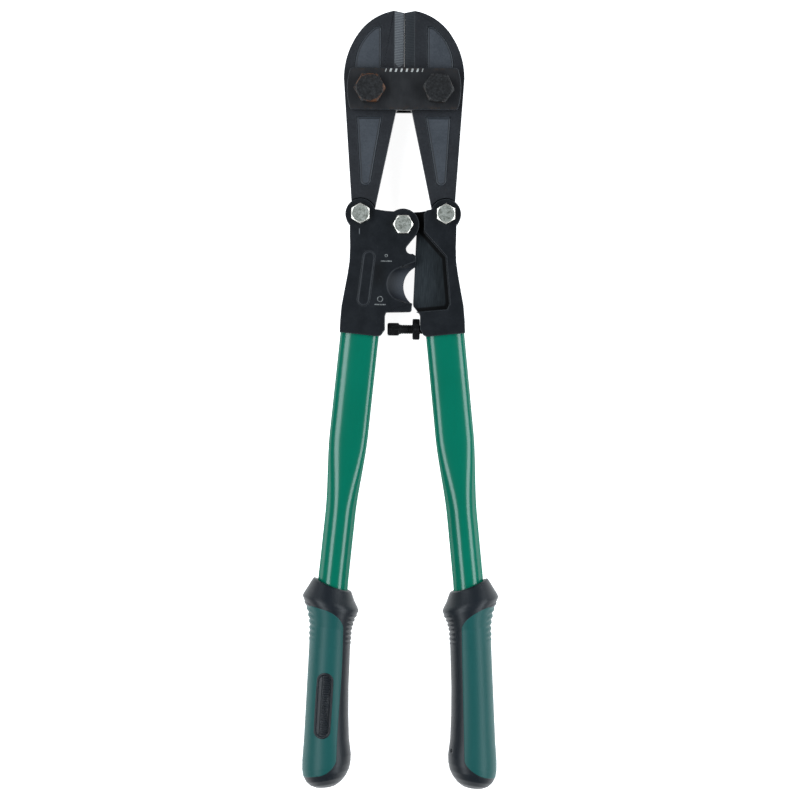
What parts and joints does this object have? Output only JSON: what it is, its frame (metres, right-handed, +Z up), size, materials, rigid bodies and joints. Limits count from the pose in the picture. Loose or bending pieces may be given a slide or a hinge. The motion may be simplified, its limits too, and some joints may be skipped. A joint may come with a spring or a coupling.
{
  "type": "bolt cutters",
  "caption": "Long-handled bolt cutters with a centre-cut head, forged brackets with wire and cable notches, a stop screw, green tubes and soft grips.",
  "frame": {"origin": "under the middle of the whole tool, on the surface it lies on", "axes": "+Y towards the jaws, +X towards the right handle, +Z up out of the front face"},
  "size_m": [0.1136, 0.45, 0.0349],
  "materials": {
    "jaw_steel": "black oxide on forged and ground steel",
    "plate_steel": "black oxide, satin",
    "black_bolt": "black oxide with worn corners",
    "bracket_steel": "black oxide on forged steel",
    "zinc": "zinc plated, dull",
    "tube_paint": "glossy green paint",
    "grip_shell": "dull green moulded plastic",
    "grip_soft": "dark soft moulded rubber",
    "grip_badge": "dark ribbed insert"
  },
  "bodies": {
    "head": {"jaw_plate_front": "plate_steel", "jaw_plate_rear": "plate_steel", "jaw_bolt_left": "black_bolt", "jaw_bolt_right": "black_bolt", "jaw_lock_washer_left": "zinc", "jaw_lock_washer_right": "zinc", "jaw_nut_left": "black_bolt", "jaw_nut_right": "black_bolt"},
    "left_jaw": {"jaw_left": "jaw_steel"},
    "right_jaw": {"jaw_right": "jaw_steel"},
    "left_handle": {"bracket_left": "bracket_steel", "toggle_bolt_left": "zinc", "toggle_nut_left": "zinc", "tube_left": "tube_paint", "grip_shell_left": "grip_shell", "grip_overmould_left": "grip_soft", "grip_badge_left": "grip_badge", "centre_bolt": "zinc", "centre_washer": "zinc", "centre_nut": "zinc"},
    "right_handle": {"bracket_right": "bracket_steel", "toggle_bolt_right": "zinc", "toggle_nut_right": "zinc", "tube_right": "tube_paint", "grip_shell_right": "grip_shell", "grip_overmould_right": "grip_soft", "grip_badge_right": "grip_badge"},
    "stop_screw": {"adjusting_screw": "black_bolt"},
    "stop_lock_nut": {"adjuster_lock_nut": "black_bolt"}
  },
  "joints": [
    {"name": "left_jaw_pivot", "type": "hinge", "parent": "head", "child": "left_jaw", "pos_m": [-0.01975, 0.1795, 0.01755], "axis": [0, 0, 1], "range_deg": [0, 7.3]},
    {"name": "right_jaw_pivot", "type": "hinge", "parent": "head", "child": "right_jaw", "pos_m": [0.01975, 0.1795, 0.01755], "axis": [0, 0, -1], "range_deg": [0, 7.3]},
    {"name": "left_handle_open", "type": "hinge", "parent": "left_jaw", "child": "left_handle", "pos_m": [-0.02467, 0.1075, 0.01755], "axis": [0, 0, -1], "range_deg": [0, 47.7]},
    {"name": "right_handle_open", "type": "hinge", "parent": "right_jaw", "child": "right_handle", "pos_m": [0.02467, 0.1075, 0.01755], "axis": [0, 0, 1], "range_deg": [0, 47.7]},
    {"name": "stop_screw_travel", "type": "slide", "parent": "right_handle", "child": "stop_screw", "axis": [1, 0, 0], "range_m": [-0.0013, 0.0012]},
    {"name": "stop_lock_nut_turn", "type": "hinge", "parent": "right_handle", "child": "stop_lock_nut", "pos_m": [0.0076, 0.041, 0.01755], "axis": [1, 0, 0], "continuous": true}
  ],
  "couplings": [
    {"joint": "right_handle_open", "follows": "left_handle_open", "ratio": 1},
    {"joint": "left_jaw_pivot", "follows": "left_handle_open", "ratio": 0.1506},
    {"joint": "right_jaw_pivot", "follows": "left_handle_open", "ratio": 0.1506}
  ]
}
